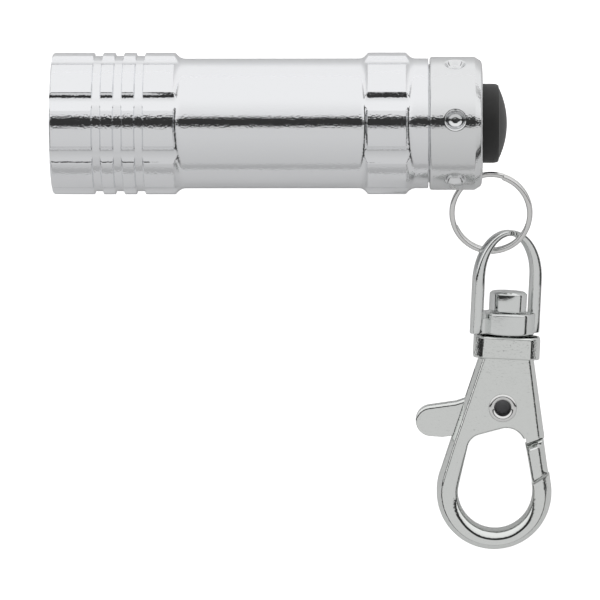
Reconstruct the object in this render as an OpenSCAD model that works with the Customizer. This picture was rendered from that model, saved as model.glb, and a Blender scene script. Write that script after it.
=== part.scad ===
// Pocket torch with a split ring and a swivel trigger snap, lying on its side.
// Millimetres. +X runs from the lens to the push button, +Z is up, the snap lies towards -Y.
// The origin is on the torch's axis, in the middle of the smooth grip.

/* [Torch body] */
// Length from the head's rim to the cap's rear face
torch_len = 54.5; // [54:0.5:56]
// Diameter over the fluted lands of the head and of the rear ring
head_d = 18; // [17.8:0.1:18.4]
// Diameter of the smooth grip
grip_d = 16.5; // [16.3:0.1:16.6]
// Diameter of the tail cap
cap_d = 16.9; // [16.8:0.1:17]
// Distance of the head's rim ahead of the origin
rim_to_origin = 27.8; // [27:0.1:29]
// Number of flutes round the head and the rear ring
flutes = 8; // [6:1:10]
// Radius of the cutter that mills a flute
flute_cutter_r = 2.3; // [1.8:0.05:2.4]
// Depth of a flute and of a turned groove below the land
cut_depth = 0.39; // [0.3:0.01:0.42]
// Number of turned grooves round the head
grooves = 3; // [1:1:3]
// Number of dimples round the tail cap
dimples = 6; // [4:1:6]

/* [Lamp and cells] */
// Outer radius of the lens
lens_r = 7.6; // [7.4:0.05:7.65]
// Diameter of a button cell
cell_d = 11.6; // [11.4:0.1:11.6]
// Height of a button cell
cell_h = 5.4; // [5.3:0.1:5.4]
// Number of button cells
cells = 4; // [4:1:4]

/* [Push button] */
// Diameter of the push button
button_d = 10.06; // [9.8:0.02:10.1]
// How far the button's tip stands behind the cap
button_proud = 3.13; // [2.6:0.01:3.4]
// Radius of the button's crown
crown_r = 10.4; // [9:0.1:12]

/* [Split ring] */
// Outer diameter of the split ring
ring_od = 10.6; // [10.4:0.1:10.8]
// Width of the ring's wire, measured across the ring
wire_w = 0.7; // [0.6:0.02:0.72]
// Height of one turn of the wire
wire_h = 0.62; // [0.55:0.01:0.64]
// Diameter of the drilling in the cap that the ring passes through
ring_hole_d = 1.6; // [1.5:0.05:1.7]

/* [Swivel snap] */
// Outer width of the bail
bail_w = 10.55; // [10:0.05:10.8]
// Width of the bail's bar, seen square on
bail_bar = 1.45; // [1:0.05:1.5]
// Thickness of the bail
bail_t = 1.25; // [1.1:0.05:1.5]
// Length of the bail from the collar to the top of its arch
bail_len = 13.4; // [13:0.1:13.6]
// Thickness of the bail's bar at the top of its arch
bail_arch = 0.75; // [0.7:0.05:0.9]
// Thickness of the hook
hook_t = 4.4; // [4:0.1:4.8]
// Thickness of the gate lever in the hook's slot
lever_t = 1.7; // [1.4:0.1:1.8]
// Radius of the hook's round end
hook_end_r = 7.35; // [7.2:0.05:7.5]
// Radius of the round end of the hook's eye
eye_r = 4.78; // [4.6:0.02:4.9]

/* [Hidden] */
$fn = 96;

// Radii of the torch
land_r = head_d / 2;
grip_r = grip_d / 2;
cap_r = cap_d / 2;
cut_r = land_r - cut_depth;
head_bore_r = 7.7;
cell_bore_r = 6.25;
pilot_r = 7.5;
thread_r = 6.95;
pilot_bore_r = 7.55;
thread_bore_r = 7.3;
boot_bore_r = 5.95;

// Stations along the torch, measured back from the head's rim
land_end = 15.56;
grip_start = 16.8;
grip_end = 38.9;
ring_land = [40, 44.8];
collar_start = 46;
shoulder = 47.65;
cap_start = 47.8;
neck_end = 50.6;
switch_step = 51.8;
cap_floor = 53.3;
board_step = 13.5;
lens_back = 2.7;
seal_wire_r = 0.45;
reflector_front = lens_back + 2 * seal_wire_r;
board_front = 12.3;
cells_start = 20.9;
cells_end = cells_start + cells * cell_h;
housing_front = 45.6;
retainer_front = 50.75;
flange_front = 51.3;
groove_start = 5.27;
groove_pitch = 2.67;
groove_w = 1.21;
groove_slope = 0.13;
flute_phase = -16.4;
dimple_phase = -0.8;
dimple_station = 51;
dimple_mouth_r = 1.27;
dimple_floor_r = 0.8;
dimple_depth = 0.72;

// Split ring: its centre, its turn in plan, its tilt, and where its wire lies in the cap's drilling
ring_centre = [27.84, -11.33, -1.9];
ring_yaw = -17.5;
ring_tilt = 15.4;
ring_r = ring_od / 2 - wire_w / 2;
ring_start = 218.5;
double_turn = 231;
single_turn = 360 - double_turn;
ring_in_hole = 139.4;
wire_sag = 0.14;
layer_offset = wire_h / 2 + 0.02;

// Snap: where its swivel axis meets the collar, its turn in plan and its slope down to the floor
snap_centre = [29.85, -26.81, -4.3];
snap_yaw = -2.7;
snap_slope = 5.2;
bail_roll = 36;
arch_offset = -0.3;
yoke_r = 3.6;
yoke_top = 2.85;
stud_shank_r = 1.25;
stud_head = [2.95, 5.55];
collar_len = 2.85;
hook_end = [-0.6, -20.2];
eye_end = [-0.45, -20.3];
eye_left = [-2.25, -14.8];
eye_left_r = 2.05;
eye_right = [0.67, -14.2];
eye_right_r = 2.37;
rivet = [-0.05, -9.25];
rivet_r = 1.45;
rivet_flange_r = 1.8;
rivet_hollow_r = 1.12;
slot_t = lever_t + 0.3;
seam_gap = 0.11;
hub_r = 2.45;

// A closed profile of [radius, station] points, turned round the torch's axis
module turned(profile) {
    translate([-rim_to_origin, 0, 0]) rotate([0, 90, 0]) rotate_extrude() polygon(profile);
}

// A plain disc or tube between two stations
module tube(r_out, r_in, from, to) {
    turned([[r_in, from], [r_out, from], [r_out, to], [r_in, to]]);
}

// An O-ring round the torch's axis
module o_ring(r, wire_r, station) {
    translate([station - rim_to_origin, 0, 0]) rotate([0, 90, 0])
        rotate_extrude() translate([r, 0]) circle(r = wire_r);
}

// Points on an arc, from angle a0 to angle a1 in n steps
function arc(centre, r, a0, a1, n = 24) =
    [for (i = [0:n]) centre + r * [cos(a0 + (a1 - a0) * i / n), sin(a0 + (a1 - a0) * i / n)]];

// A hollow run-out from radius r0 at station s0 to radius r1 at station s1
function run_out(r0, s0, r1, s1, n = 8) =
    [for (i = [0:n]) [r1 + (r0 - r1) * pow(1 - i / n, 2), s0 + (s1 - s0) * i / n]];

// A tube swept along rings of points: every ring has the same number of points
module swept(rings) {
    sides = len(rings[0]);
    last = len(rings) - 1;
    polyhedron(
        points = [for (ring = rings) for (p = ring) p],
        faces = concat(
            [[for (j = [0:sides - 1]) j]],
            [for (i = [0:last - 1]) for (j = [0:sides - 1])
                [i * sides + j, (i + 1) * sides + j,
                 (i + 1) * sides + (j + 1) % sides, i * sides + (j + 1) % sides]],
            [[for (j = [sides - 1:-1:0]) last * sides + j]]));
}

// A coil spring that stands on the XY plane, its radius going from r0 to r1
module coil(r0, r1, wire_r, height, turns, per_turn = 20, sides = 6) {
    steps = round(turns * per_turn);
    swept([for (i = [0:steps])
        let (a = 360 * turns * i / steps,
             r = r0 + (r1 - r0) * i / steps,
             z = wire_r + (height - 2 * wire_r) * i / steps)
        [for (j = [0:sides - 1])
            let (b = 360 * j / sides)
            [(r + wire_r * cos(b)) * cos(a), (r + wire_r * cos(b)) * sin(a), z + wire_r * sin(b)]]]);
}

// A coil spring on the torch's axis between two stations
module torch_coil(r0, r1, wire_r, from, to, turns) {
    translate([from - rim_to_origin, 0, 0]) rotate([0, 90, 0]) coil(r0, r1, wire_r, to - from, turns);
}

// The split ring's own frame: its plane is XY and its centre the origin
module ring_place() {
    translate(ring_centre) rotate([0, 0, ring_yaw]) rotate([ring_tilt, 0, 0]) children();
}

// The snap's own frame: Y runs up the swivel axis to the bail, Z is square to the hook's face
module snap_place() {
    translate(snap_centre) rotate([0, 0, snap_yaw]) rotate([snap_slope, 0, 0]) children();
}

// A straight drilling through the cap's rim, along the stretch of wire that lies in it
module ring_hole() {
    ring_place() rotate([0, 0, ring_in_hole]) translate([ring_r - wire_sag, 0, 0])
        rotate([90, 0, 0]) cylinder(d = ring_hole_d, h = 9, center = true);
}

// Head, grip, rear ring and threaded neck, turned from one bar and fluted
module barrel() {
    color([0.86, 0.865, 0.87]) difference() {
        turned(concat(
            [[head_bore_r + 0.15, 0], [land_r - 0.25, 0], [land_r, 0.25]],
            [for (g = [0:grooves - 1]) let (s = groove_start + g * groove_pitch)
                for (p = [[land_r, s], [cut_r, s + groove_slope],
                          [cut_r, s + groove_w - groove_slope], [land_r, s + groove_w]]) p],
            run_out(land_r, land_end, grip_r, grip_start),
            [for (i = [8:-1:0]) run_out(land_r, ring_land[0], grip_r, grip_end)[i]],
            run_out(land_r, ring_land[1], grip_r, collar_start),
            [[grip_r, shoulder - 0.15], [grip_r - 0.15, shoulder], [pilot_r, shoulder],
             [pilot_r, 48.2], [6.78, 48.2], [6.78, 49], [thread_r, 49],
             [thread_r, neck_end - 0.3], [thread_r - 0.3, neck_end], [cell_bore_r, neck_end],
             [cell_bore_r, board_step], [head_bore_r, board_step], [head_bore_r, 0.15]]));
        for (f = [0:flutes - 1]) rotate([flute_phase + f * 360 / flutes, 0, 0])
            translate([-rim_to_origin - 1, 0, cut_r + flute_cutter_r])
                rotate([0, 90, 0]) cylinder(r = flute_cutter_r, h = shoulder + 2, $fn = 48);
    }
}

module lens_retainer() {
    color([0.25, 0.25, 0.26]) turned([[6.6, 0.9], [6.9, 0.5], [head_bore_r - 0.02, 0.5],
        [head_bore_r - 0.02, 1.5], [6.6, 1.5]]);
}

module lens() {
    color([0.85, 0.9, 0.95, 0.4]) tube(lens_r, 0, 1.5, lens_back);
}

module lens_seal() {
    color([0.1, 0.1, 0.1]) o_ring(7.12, seal_wire_r - 0.01, lens_back + seal_wire_r);
}

// A bright cup whose inside is a parabola, seated on the board
module reflector() {
    mouth_r = 6.7;
    throat_r = 2;
    throat = 11.4;
    steps = 14;
    color([0.9, 0.9, 0.92]) turned(concat(
        [for (i = [0:steps]) let (r = mouth_r + (throat_r - mouth_r) * i / steps)
            [r, reflector_front + (throat - reflector_front)
                * (1 - (r * r - throat_r * throat_r) / (mouth_r * mouth_r - throat_r * throat_r))]],
        [[2.7, throat], [2.7, board_front], [5, board_front], [5, throat], [3.9, throat],
         [7.1, 4.8], [lens_r, 4.8], [lens_r, reflector_front]]));
}

module led() {
    base = board_front - 0.7;
    color([0.95, 0.9, 0.55]) {
        translate([base - rim_to_origin, -1.75, -1.75]) cube([0.7, 3.5, 3.5]);
        turned(concat([[0, base + 0.2], [1.5, base + 0.2], [1.5, base]],
            [for (i = [1:8]) [1.5 * cos(90 * i / 8), base - 1.5 * sin(90 * i / 8)]]));
    }
}

module led_board() {
    color([0.15, 0.4, 0.25]) {
        tube(lens_r, 0, board_front, board_step);
        tube(1.6, 0, board_step - 0.01, board_step + 0.35);
    }
}

module front_spring() {
    color([0.8, 0.75, 0.6]) torch_coil(3.6, 2.2, 0.25, board_step + 0.4, cells_start - 0.05, 4);
}

module battery_sleeve() {
    color([0.2, 0.25, 0.6]) tube(6.2, 5.88, cells_start - 0.4, cells_end + 0.6);
}

// Can, insulating shoulder and raised negative face of one cell
module cell(n) {
    start = cells_start + (n - 1) * cell_h;
    can = cell_d / 2;
    color([0.8, 0.8, 0.82]) turned([[0, start], [can - 0.3, start], [can, start + 0.3],
        [can, start + 4.75], [can - 0.25, start + 5], [can - 0.9, start + 5],
        [can - 1, start + cell_h - 0.02], [0, start + cell_h - 0.02]]);
}

module cell_1() { cell(1); }
module cell_2() { cell(2); }
module cell_3() { cell(3); }
module cell_4() { cell(4); }

module tail_seal() {
    color([0.1, 0.1, 0.1]) o_ring(7.15, 0.35, 48.6);
}

// Blind conical dimple at the top of the cap
module dimple() {
    translate([dimple_station - rim_to_origin, 0, cap_r]) rotate([180, 0, 0]) {
        translate([0, 0, -0.5]) cylinder(r = dimple_mouth_r, h = 0.62, $fn = 48);
        translate([0, 0, 0.1]) cylinder(r1 = dimple_mouth_r, r2 = dimple_floor_r,
            h = dimple_depth - 0.1, $fn = 48);
    }
}

module tail_cap() {
    color([0.84, 0.845, 0.85]) difference() {
        turned([[pilot_bore_r, cap_start], [cap_r - 0.36, cap_start], [cap_r, cap_start + 0.36],
            [cap_r, torch_len - 1], [cap_r - 0.5, torch_len - 0.2], [cap_r - 0.85, torch_len - 0.06],
            [cap_r - 1.3, torch_len], [button_d / 2 + 0.07, torch_len],
            [button_d / 2 + 0.07, cap_floor], [boot_bore_r, cap_floor],
            [boot_bore_r, switch_step], [thread_bore_r, switch_step],
            [thread_bore_r, 49.1], [pilot_bore_r, 49.1]]);
        for (d = [0:dimples - 1]) rotate([dimple_phase + d * 360 / dimples, 0, 0]) dimple();
        ring_hole();
    }
}

module switch_housing() {
    color([0.12, 0.12, 0.13]) turned([[0, housing_front], [5.7, housing_front],
        [5.7, flange_front], [7.2, flange_front], [7.2, switch_step], [6.15, switch_step],
        [6.15, flange_front + 0.1], [4.9, flange_front + 0.1], [4.9, housing_front + 0.8],
        [0, housing_front + 0.8]]);
}

module switch_cover() {
    color([0.3, 0.3, 0.32]) tube(4.86, 1.75, 50.5, flange_front);
}

// Threaded ring with two spanner slots, which holds the switch in the cap
module switch_retainer() {
    color([0.75, 0.65, 0.35]) difference() {
        tube(7.25, 5.8, retainer_front, flange_front);
        for (side = [-1, 1]) translate([retainer_front - rim_to_origin - 0.1, -0.5, side * 6.5 - 1])
            cube([0.35, 1, 2]);
    }
}

module tail_contact() {
    color([0.8, 0.7, 0.35]) tube(2.6, 0, 45.35, housing_front);
}

module tail_contact_spring() {
    color([0.8, 0.75, 0.6]) torch_coil(2.2, 2.2, 0.25, cells_end + 0.05, 45.32, 2.5);
}

module switch_spring() {
    color([0.8, 0.8, 0.8]) torch_coil(2.4, 2.4, 0.2, housing_front + 0.83, 49.27, 3);
}

module switch_plunger() {
    color([0.9, 0.9, 0.85]) turned([[0, 48], [1.6, 48], [1.6, 49.3], [3, 49.3], [3, 50.3],
        [1.68, 50.3], [1.68, 55.85], [0, 55.85]]);
}

// Rubber button: a flange inside the cap, a plain skirt and a low crown
module button() {
    r = button_d / 2;
    tip = torch_len + button_proud;
    corner = 0.45;
    crown_edge = r - corner;
    crown_drop = crown_r - sqrt(crown_r * crown_r - crown_edge * crown_edge);
    steps = 12;
    color([0.14, 0.14, 0.14]) turned(concat(
        [[4, 52.8], [5.75, 52.8], [5.75, cap_floor - 0.05], [r, cap_floor - 0.05]],
        [for (a = [0:15:60]) [crown_edge + corner * cos(a), tip - crown_drop - corner + corner * sin(a) + 0.05]],
        [for (i = [0:steps]) let (x = crown_edge * (1 - i / steps))
            [x, tip - crown_r + sqrt(crown_r * crown_r - x * x)]],
        [[0, 55.9], [4, 55.9]]));
}

// Height of the ring's wire above the ring's plane: low turn, crossing, high turn
function layer(a) = a < double_turn ? -layer_offset
    : a > double_turn + single_turn ? layer_offset
    : layer_offset * sin(180 * (a - double_turn) / single_turn - 90);

module split_ring() {
    total = 2 * double_turn + single_turn;
    steps = 88;
    corner = 0.17;
    color([0.78, 0.78, 0.78]) ring_place() swept([for (i = [0:steps])
        let (a = total * i / steps, z = layer(a), t = ring_start + a)
        [for (c = [[1, 1], [-1, 1], [-1, -1], [1, -1]]) for (k = [0, 1])
            let (flip = c[0] * c[1] > 0 ? k : 1 - k,
                 x = c[0] * (wire_w / 2 - corner * flip),
                 y = c[1] * (wire_h / 2 - corner * (1 - flip)))
            [(ring_r + x) * cos(t), (ring_r + x) * sin(t), z + y]]]);
}

// Outline of half an ellipse on two straight legs
function bail_outline(half, top, foot, rise) = concat(
    [[-half, foot]],
    [for (i = [0:32]) [-half * cos(180 * i / 32), top - rise + rise * sin(180 * i / 32)]],
    [[half, foot]]);

module swivel_bail() {
    color([0.78, 0.785, 0.79]) snap_place() rotate([0, bail_roll, 0]) difference() {
        union() {
            translate([arch_offset, 0, 0]) linear_extrude(height = bail_t, center = true) difference() {
                polygon(bail_outline(bail_w / 2, bail_len, 0.15, 6.5));
                polygon(bail_outline(bail_w / 2 - bail_bar, bail_len - bail_arch, 2.2, 5.15));
            }
            translate([0, yoke_top, 0]) rotate([90, 0, 0]) cylinder(r = yoke_r, h = yoke_top - 0.12);
        }
        translate([0, yoke_top + 1, 0]) rotate([90, 0, 0])
            cylinder(r = stud_shank_r + 0.07, h = yoke_top + 2);
    }
}

module swivel_stud() {
    color([0.78, 0.785, 0.79]) snap_place() rotate([-90, 0, 0]) {
        translate([0, 0, -1.4]) cylinder(r = stud_shank_r, h = stud_head[0] + 1.5);
        translate([0, 0, stud_head[0]]) rotate_extrude() polygon([[0, 0], [2.4, 0],
            [2.4, 2.2], [2, stud_head[1] - stud_head[0]], [0, stud_head[1] - stud_head[0]]]);
    }
}

// The hook's silhouette: a round end and two straight flanks up to the collar
module hook_outline() {
    polygon(concat(arc(hook_end, hook_end_r, 163, 372, 48), [[3.44, -2.5], [-3.1, -2.5]]));
}

// The eye's outline: one large arc and two small ones, joined by straight lines
module eye_outline() {
    polygon(concat(arc(eye_end, eye_r, 170, 372.5, 40),
        arc(eye_right, eye_right_r, 12.5, 107.8, 16), arc(eye_left, eye_left_r, 107.8, 170, 12)));
}

// Space for the gate in the right arm: square above, slanted below
module gate_window() {
    polygon([[2.6, -20.08 - seam_gap], [8.6, -15.86 - seam_gap], [8.6, -12.85], [2.6, -12.85]]);
}

module hook_body() {
    collar_w = 8.5;
    collar_t = 5.4;
    corner = 1.3;
    color([0.78, 0.785, 0.79]) snap_place() difference() {
        union() {
            translate([0.1, -0.15, 0]) rotate([90, 0, 0]) linear_extrude(height = collar_len)
                polygon([for (c = [[1, 1], [-1, 1], [-1, -1], [1, -1]]) for (k = [0, 1])
                    let (flip = c[0] * c[1] > 0 ? k : 1 - k)
                    [c[0] * (collar_w / 2 - corner * flip), c[1] * (collar_t / 2 - corner * (1 - flip))]]);
            linear_extrude(height = hook_t, center = true) difference() {
                hook_outline();
                eye_outline();
                gate_window();
            }
        }
        linear_extrude(height = slot_t, center = true)
            polygon([[-9, -13.5], [-9, -4.6], [9, -4.6], [9, -16], [0, -16], [-2.5, -13.5]]);
        translate([rivet[0], rivet[1], 0]) cylinder(r = rivet_r + 0.01, h = 9, center = true);
        translate([0, -1.5, 0]) rotate([-90, 0, 0]) cylinder(r = stud_shank_r + 0.01, h = 3);
    }
}

// Thumb tab, hub and the arm that carries the gate block
module lever_outline() {
    polygon(concat([[-1.2, -7.1], [-3.4, -7.5], [-4.6, -8.35], [-6, -8.85]],
        arc([-9.05, -11.45], 2.02, 100, 262, 14),
        [[-7.6, -13.5], [-5.9, -13.2], [-4.3, -12.4], [-1.3, -11.35]]));
    translate(rivet) circle(r = hub_r);
    polygon([[1.4, -7.3], [3.9, -8.4], [4.62, -9.9], [5.45, -13.6], [4.99, -13.5], [3.33, -14.6],
             [3.1, -12.6], [1.4, -11.2]]);
}

module block_outline() {
    polygon([[3.33, -14.52], [4.99, -13.42], [5.45, -13.4], [6.2, -17.5 + seam_gap],
             [4.18, -18.92 + seam_gap], [3.78, -17]]);
}

module gate_lever() {
    color([0.75, 0.755, 0.76]) snap_place() difference() {
        union() {
            linear_extrude(height = lever_t, center = true) lever_outline();
            linear_extrude(height = hook_t, center = true) block_outline();
        }
        translate([rivet[0], rivet[1], 0]) {
            cylinder(r = rivet_r + 0.05, h = 9, center = true);
            translate([0, 0, -0.15]) cylinder(r = 2.12, h = 3);
        }
    }
}

// Hollow rivet with a flange on each face of the hook
module gate_rivet() {
    half = hook_t / 2;
    color([0.8, 0.8, 0.8]) snap_place() translate([rivet[0], rivet[1], 0]) rotate_extrude()
        polygon([[0, -half - 0.3], [rivet_flange_r - 0.15, -half - 0.3], [rivet_flange_r, -half - 0.1],
                 [rivet_flange_r, -half], [rivet_r, -half], [rivet_r, half], [rivet_flange_r, half],
                 [rivet_flange_r, half + 0.1], [rivet_flange_r - 0.15, half + 0.3],
                 [rivet_hollow_r, half + 0.3], [rivet_hollow_r - 0.1, -0.8], [0, -0.8]]);
}

module gate_spring() {
    color([0.8, 0.8, 0.8]) snap_place() translate([rivet[0], rivet[1], -0.13])
        coil(1.8, 1.8, 0.16, 0.96, 2);
}

barrel();
lens_retainer();
lens();
lens_seal();
reflector();
led();
led_board();
front_spring();
battery_sleeve();
cell_1();
cell_2();
cell_3();
cell_4();
tail_seal();
tail_cap();
switch_housing();
switch_cover();
switch_retainer();
tail_contact();
tail_contact_spring();
switch_spring();
switch_plunger();
button();
split_ring();
swivel_bail();
swivel_stud();
hook_body();
gate_lever();
gate_rivet();
gate_spring();
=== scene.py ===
# %% [markdown]
# # A pocket torch on a swivel snap
# The object is a turned aluminium torch, no longer than a finger, that hangs from a split ring and
# a die-cast trigger snap. The CAD model gives every size, joint and hidden part. This script gives
# the parts their finish and builds finer meshes for the ones whose edges catch the light. Lengths
# below are in millimetres, as a machinist would write them, and are turned to metres where a mesh
# is made. Only the sizes inside the node trees and of the floor are given in metres.

import math

import bmesh
import bpy
import numpy as np
from mathutils import Matrix, Vector, geometry


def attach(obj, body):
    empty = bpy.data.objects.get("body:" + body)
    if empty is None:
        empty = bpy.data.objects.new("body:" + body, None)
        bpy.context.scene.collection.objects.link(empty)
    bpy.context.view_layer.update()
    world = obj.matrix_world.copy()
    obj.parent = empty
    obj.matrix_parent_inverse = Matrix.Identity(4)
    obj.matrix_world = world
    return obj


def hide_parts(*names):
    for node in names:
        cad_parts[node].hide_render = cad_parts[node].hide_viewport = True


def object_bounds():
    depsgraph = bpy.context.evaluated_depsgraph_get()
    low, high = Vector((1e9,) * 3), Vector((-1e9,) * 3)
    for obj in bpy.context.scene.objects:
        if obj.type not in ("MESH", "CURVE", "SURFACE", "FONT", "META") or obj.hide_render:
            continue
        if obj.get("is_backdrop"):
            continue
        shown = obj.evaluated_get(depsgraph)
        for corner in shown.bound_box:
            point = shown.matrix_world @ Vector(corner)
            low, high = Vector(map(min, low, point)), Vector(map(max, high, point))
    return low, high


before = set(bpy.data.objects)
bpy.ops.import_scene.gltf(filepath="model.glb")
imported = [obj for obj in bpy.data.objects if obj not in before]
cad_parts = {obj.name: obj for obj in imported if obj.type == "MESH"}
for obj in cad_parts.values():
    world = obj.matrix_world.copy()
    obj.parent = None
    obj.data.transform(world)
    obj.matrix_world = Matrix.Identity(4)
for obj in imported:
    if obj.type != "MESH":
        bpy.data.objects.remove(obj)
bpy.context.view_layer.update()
MM, MICRON = 1e-3, 1e-6

# %% [markdown]
# ## Three places to build in
# A lathe turns about its own Z, and a plate lies in its own XY. The torch's axis is the frame's X.
# The snap lies on a slope, from the split ring down to the surface, and the bail is rolled about
# the swivel. Each place is one matrix, so a profile is typed as it would be drawn.

# %% The torch's axis, the snap and the bail
RIM = 27.8
TORCH = Matrix(((0, 0, 1, -RIM), (1, 0, 0, 0), (0, 1, 0, 0), (0, 0, 0, 1)))
SNAP = (Matrix.Translation((29.85, -26.81, -4.3)) @ Matrix.Rotation(math.radians(-2.7), 4, "Z")
        @ Matrix.Rotation(math.radians(5.2), 4, "X"))
SWIVEL = SNAP @ Matrix.Rotation(math.radians(-90), 4, "X")
BAIL = SNAP @ Matrix.Rotation(math.radians(36), 4, "Y")
RING = (Matrix.Translation((27.84, -11.33, -1.9)) @ Matrix.Rotation(math.radians(-17.5), 4, "Z")
        @ Matrix.Rotation(math.radians(15.4), 4, "X"))
RIVET = SNAP @ Matrix.Translation((-0.05, -9.25, 0))


# %% [markdown]
# ## From points to a piece
# Every fine mesh ends the same way: its faces are turned outwards, its place goes into its
# vertices, it is shaded smooth with the real corners kept sharp, and it takes over from its CAD
# node.

# %% Mesh helpers
def mesh_from(name, points, faces, place, sharp=32):
    """A closed mesh from points in millimetres, in the frame, shaded smooth up to an angle."""
    mesh = bpy.data.meshes.new(name)
    mesh.from_pydata([tuple(p) for p in points], [], faces)
    bm = bmesh.new()
    bm.from_mesh(mesh)
    bmesh.ops.remove_doubles(bm, verts=bm.verts, dist=1e-4)
    bmesh.ops.dissolve_degenerate(bm, edges=bm.edges, dist=1e-5)
    bmesh.ops.recalc_face_normals(bm, faces=bm.faces)
    bm.to_mesh(mesh)
    bm.free()
    mesh.transform(Matrix.Scale(MM, 4) @ place)
    mesh.shade_smooth()
    mesh.set_sharp_from_angle(angle=math.radians(sharp))
    return mesh


def show(name, mesh):
    """An object that holds the mesh, in the scene."""
    thing = bpy.data.objects.new(name, mesh)
    bpy.context.scene.collection.objects.link(thing)
    return thing


def kept(thing, sharp=None):
    """The piece with its one modifier applied, as a plain mesh."""
    made = bpy.data.meshes.new_from_object(
        thing.evaluated_get(bpy.context.evaluated_depsgraph_get()))
    thing.modifiers.clear()
    thing.data = made
    if sharp:
        made.shade_smooth()
        made.set_sharp_from_angle(angle=math.radians(sharp))
    return thing


def piece(thing, body, nodes, slot, *finishes):
    """The finished piece moves with its body and stands for its CAD nodes."""
    if body in ("hook", "gate_lever"):
        flat = SNAP.to_3x3() @ Vector((0, 0, 1))
        for face in thing.data.polygons:
            face.use_smooth = abs(face.normal.dot(flat)) < 0.9999
    step = thing.modifiers.new("flats_stay_flat", "WEIGHTED_NORMAL")
    step.keep_sharp, step.weight = True, 75
    kept(thing)
    if finishes:
        thing.data.materials.clear()
        for finish in finishes:
            thing.data.materials.append(finish)
    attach(thing, body)
    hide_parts(*nodes)
    thing.data.calc_loop_triangles()
    print(f"{thing.name}: {len(thing.data.loop_triangles)} triangles, rides on {body}")
    return thing


def join(name, *meshes):
    """Several meshes that are already in place, as one."""
    bm = bmesh.new()
    for mesh in meshes:
        bm.from_mesh(mesh)
    whole = bpy.data.meshes.new(name)
    bm.to_mesh(whole)
    bm.free()
    whole.shade_smooth()
    whole.set_sharp_from_angle(angle=math.radians(32))
    return whole


def cut(thing, tool_mesh, operation="DIFFERENCE", sharp=32):
    """Cuts one mesh with another, or welds them, and keeps the result as a plain mesh."""
    tool = show("tool", tool_mesh)
    step = thing.modifiers.new("cut", "BOOLEAN")
    step.object, step.operation, step.solver = tool, operation, "EXACT"
    kept(thing, sharp)
    bpy.data.objects.remove(tool)
    return thing


# %% [markdown]
# ## Turned parts
# A turned part is its half-section, spun. No machined edge is a true corner, so each corner may
# name the radius that breaks it. The broken edge is what draws the thin bright lines on the real
# torch.

# %% Profiles and the lathe
def broken(corners, steps=3):
    """Corners (a, b, radius) as a line whose corners with a radius are rounded off."""
    line, n = [], len(corners)
    for i, (a, b, *rest) in enumerate(corners):
        p = np.array((a, b), float)
        size = rest[0] if rest else 0
        if not size:
            line.append(p)
            continue
        before = np.array(corners[i - 1][:2], float) - p
        after = np.array(corners[(i + 1) % n][:2], float) - p
        start = p + before / np.linalg.norm(before) * min(size, np.linalg.norm(before) / 2)
        end = p + after / np.linalg.norm(after) * min(size, np.linalg.norm(after) / 2)
        for t in np.linspace(0, 1, steps + 1):
            line.append((1 - t) ** 2 * start + 2 * t * (1 - t) * p + t * t * end)
    return line


def lathe(name, corners, place, segments=96, steps=3, sharp=32):
    """A closed half-section of (radius, height) corners, spun about its own Z."""
    line = broken(corners, steps)
    turn = np.arange(segments) * 2 * math.pi / segments
    points = [(r * c, r * s, h) for c, s in zip(np.cos(turn), np.sin(turn)) for r, h in line]
    n = len(line)
    faces = [(i * n + j, ((i + 1) % segments) * n + j,
              ((i + 1) % segments) * n + (j + 1) % n, i * n + (j + 1) % n)
             for i in range(segments) for j in range(n)
             if line[j][0] > 1e-6 or line[(j + 1) % n][0] > 1e-6]
    return mesh_from(name, points, faces, place, sharp)


def sweep(name, rings, place, sharp=40):
    """A bar through rings of points, closed at both ends."""
    n, last = len(rings[0]), len(rings) - 1
    points = [p for ring in rings for p in ring]
    faces = [(i * n + j, i * n + (j + 1) % n, (i + 1) * n + (j + 1) % n, (i + 1) * n + j)
             for i in range(last) for j in range(n)]
    faces += [tuple(range(n)), tuple(last * n + j for j in reversed(range(n)))]
    return mesh_from(name, points, faces, place, sharp)


# %% [markdown]
# ## Cast plates
# The hook is a flat casting whose edges slope or roll over by a different amount at each place:
# wide along the flanks, and widest at the bottom of the eye. So each edge of an outline carries
# its own width and drop. The flat faces are filled between the last rows of the outlines.

# %% Plates with shaped edges
def moved_in(loop, width):
    """The outline, moved towards the solid by a width for each edge."""
    ahead = np.roll(loop, -1, 0) - loop
    normal = np.stack([-ahead[:, 1], ahead[:, 0]], 1) / np.linalg.norm(ahead, axis=1)[:, None]
    n1, n0 = normal, np.roll(normal, 1, 0)
    d1, d0 = width, np.roll(width, 1)
    det = n0[:, 0] * n1[:, 1] - n0[:, 1] * n1[:, 0]
    mean = (n0 + n1) / np.linalg.norm(n0 + n1, axis=1)[:, None] * ((d0 + d1) / 2)[:, None]
    safe = np.where(abs(det) < 0.12, 1, det)
    corner = np.stack([(d0 * n1[:, 1] - d1 * n0[:, 1]) / safe,
                       (n0[:, 0] * d1 - n1[:, 0] * d0) / safe], 1)
    return loop + np.where((abs(det) < 0.12)[:, None], mean, corner)


def edge_rows(width, drop, half, form):
    """Rows up one edge, as (move in, height): a steep chamfer softened at its top, or a roll."""
    if form == "roll":
        rows = [(width * (1 - math.cos(t)), half - drop * (1 - math.sin(t)))
                for t in np.linspace(0, math.pi / 2, 9)]
    else:
        top = half - 0.2
        rows = [(width * 0, half - drop - 0.1), (width * 0.03, half - drop),
                (width * 0.12, half - drop * 0.85), (width, top + drop * 0)]
        rows += [(width + m, half - h + drop * 0)
                 for m, h in ((0.02, 0.18), (0.17, 0.03), (0.21, 0.008))]
    return rows + [(rows[-1][0] + 0.05, half + width * 0)]


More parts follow.
